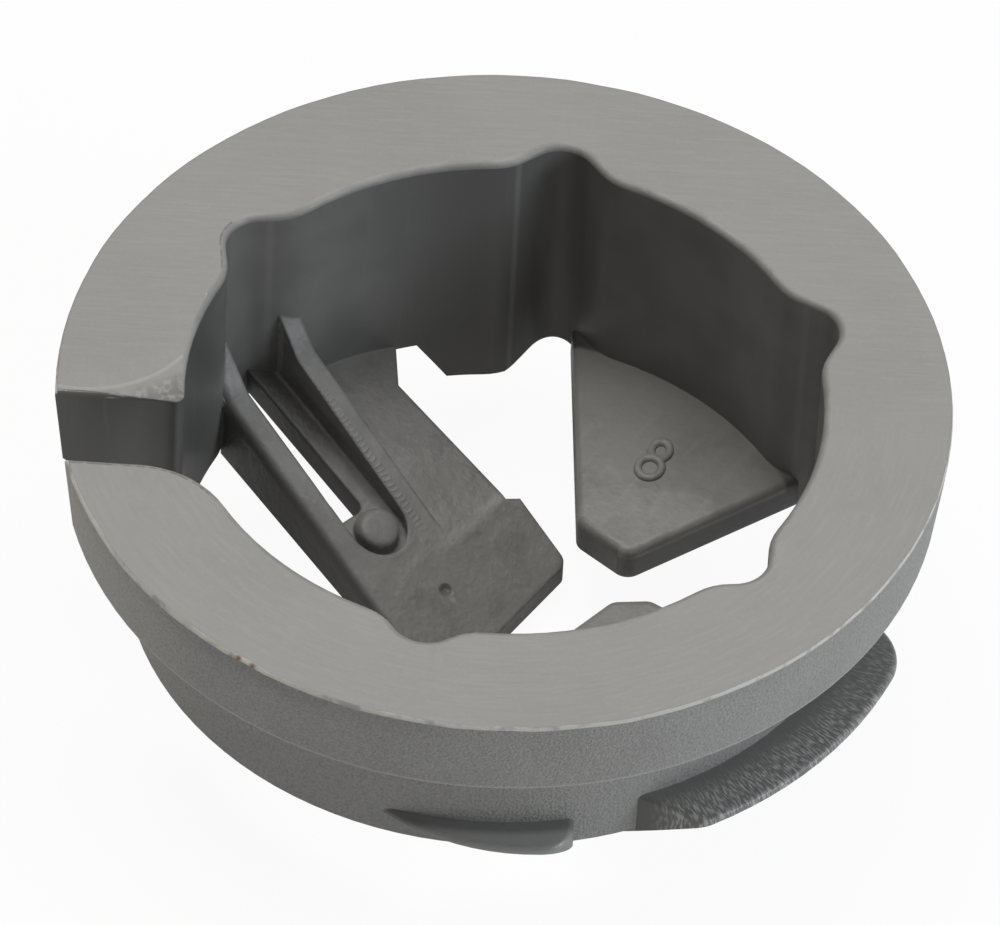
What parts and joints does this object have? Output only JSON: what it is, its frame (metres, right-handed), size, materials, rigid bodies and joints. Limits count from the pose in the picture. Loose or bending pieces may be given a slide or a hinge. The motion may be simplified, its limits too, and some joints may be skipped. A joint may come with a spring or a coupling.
{
  "type": "snap-in cable connector",
  "caption": "Split plastic ring with a flange and snap lugs for a round knockout, and a ribbed wedge tongue that grips a cable against fixed ledges.",
  "frame": {"origin": "middle of the knockout on the panel's outer face, which is the underside of the flange", "axes": "+Z out of the box through the flange's top face, -X through the slit, +Y completes the right-handed frame"},
  "size_m": [0.026, 0.026, 0.0109],
  "materials": {
    "grey_plastic": "moulded grey plastic with a fine eroded grain, and a smoother trimmed top face"
  },
  "bodies": {
    "root": {"snap_in_connector": "grey_plastic"}
  },
  "joints": []
}
